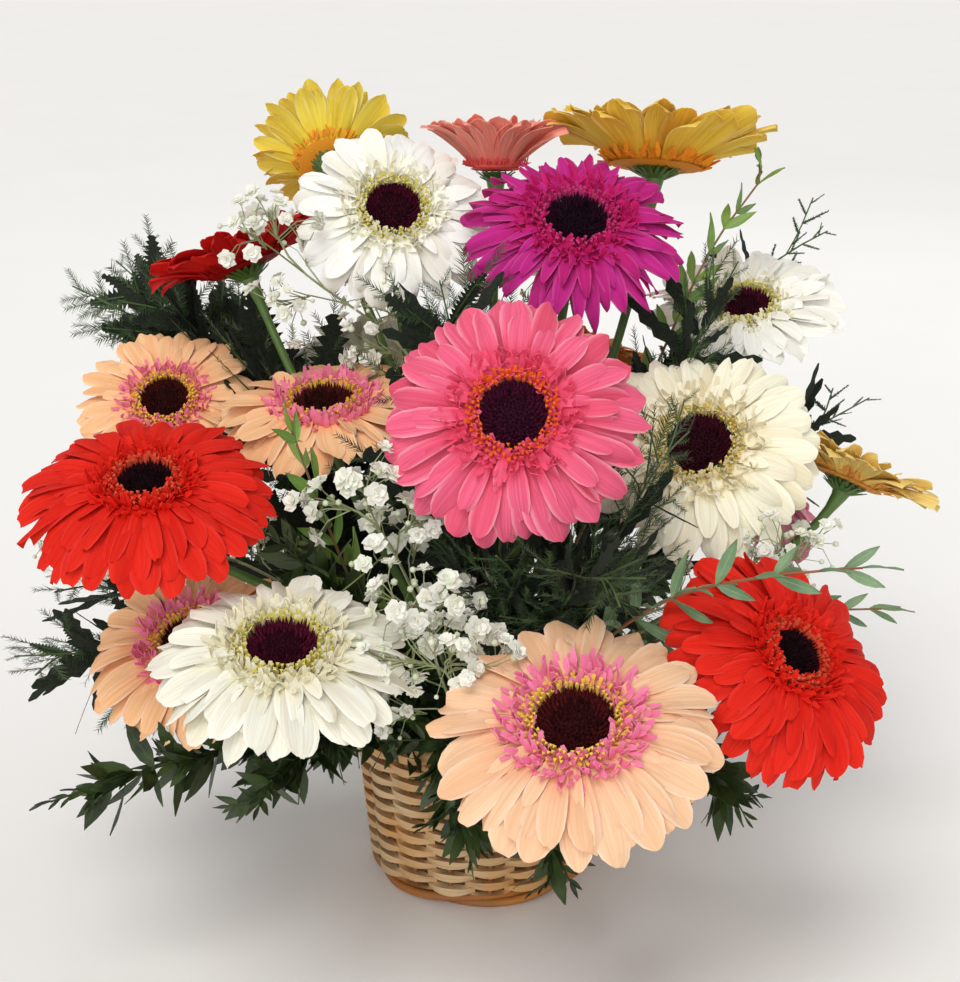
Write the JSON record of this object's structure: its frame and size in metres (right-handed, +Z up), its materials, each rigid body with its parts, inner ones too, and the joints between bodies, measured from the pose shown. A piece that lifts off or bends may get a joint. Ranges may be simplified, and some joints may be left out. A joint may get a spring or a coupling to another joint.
{
  "type": "gerbera flower basket arrangement",
  "caption": "Round willow basket holding an all-round arrangement of gerbera daisies with baby's breath, asparagus fern, ruscus and eucalyptus, set in floral foam.",
  "frame": {"origin": "middle of the underside of the basket, on the surface that it stands on", "axes": "+Z up out of the basket, -Y towards the side that the arrangement is shown from, +X to that side's right"},
  "size_m": [0.4341, 0.4539, 0.3748],
  "materials": {
    "willow": "matte",
    "brown_willow": "matte",
    "liner_film": "satin",
    "wet_foam": "matte",
    "petals_coral": "satin",
    "petals_peach": "satin",
    "petals_white": "satin",
    "petals_red": "satin",
    "petals_magenta": "satin",
    "petals_cream": "satin",
    "petals_yellow": "satin",
    "petals_orange": "satin",
    "petals_pink": "satin",
    "baby_breath": "matte",
    "fern": "matte",
    "cedar": "matte",
    "ruscus": "satin",
    "eucalyptus": "matte"
  },
  "bodies": {
    "root": {"asparagus_fern_back": "fern", "asparagus_fern_centre": "fern", "asparagus_fern_centre_right": "fern", "asparagus_fern_far_left": "fern", "asparagus_fern_front": "fern", "asparagus_fern_left_back": "fern", "asparagus_fern_low_left": "fern", "asparagus_fern_right": "fern", "asparagus_fern_top": "fern", "asparagus_fern_top_right": "fern", "asparagus_fern_upper_left": "fern", "basket_floor": "willow", "basket_foot": "brown_willow", "basket_liner": "liner_film", "basket_rim": "willow", "basket_wall": "willow", "cedar_right": "cedar", "cedar_top_right": "cedar", "eucalyptus_far_right": "eucalyptus", "eucalyptus_left": "eucalyptus", "eucalyptus_right": "eucalyptus", "eucalyptus_top_right": "eucalyptus", "floral_foam": "wet_foam", "gerbera_coral_back": "petals_coral", "gerbera_coral_centre": "petals_coral", "gerbera_cream_right": "petals_cream", "gerbera_magenta_top": "petals_magenta", "gerbera_orange_back": "petals_orange", "gerbera_peach_centre_left": "petals_peach", "gerbera_peach_front": "petals_peach", "gerbera_peach_left": "petals_peach", "gerbera_peach_low_left": "petals_peach", "gerbera_pink_back": "petals_pink", "gerbera_red_back": "petals_red", "gerbera_red_back_left": "petals_red", "gerbera_red_left": "petals_red", "gerbera_red_right": "petals_red", "gerbera_white_back": "petals_white", "gerbera_white_front": "petals_white", "gerbera_white_right": "petals_white", "gerbera_white_top": "petals_white", "gerbera_yellow_right": "petals_yellow", "gerbera_yellow_top_left": "petals_yellow", "gerbera_yellow_top_right": "petals_yellow", "gypsophila_back": "baby_breath", "gypsophila_centre": "baby_breath", "gypsophila_front": "baby_breath", "gypsophila_left": "baby_breath", "gypsophila_low_centre": "baby_breath", "gypsophila_right": "baby_breath", "gypsophila_top": "baby_breath", "gypsophila_top_left": "baby_breath", "ruscus_back_left": "ruscus", "ruscus_back_right": "ruscus", "ruscus_basket_right": "ruscus", "ruscus_front_left": "ruscus", "ruscus_left": "ruscus", "ruscus_low_left": "ruscus", "ruscus_over_basket": "ruscus", "ruscus_right": "ruscus"}
  },
  "joints": []
}
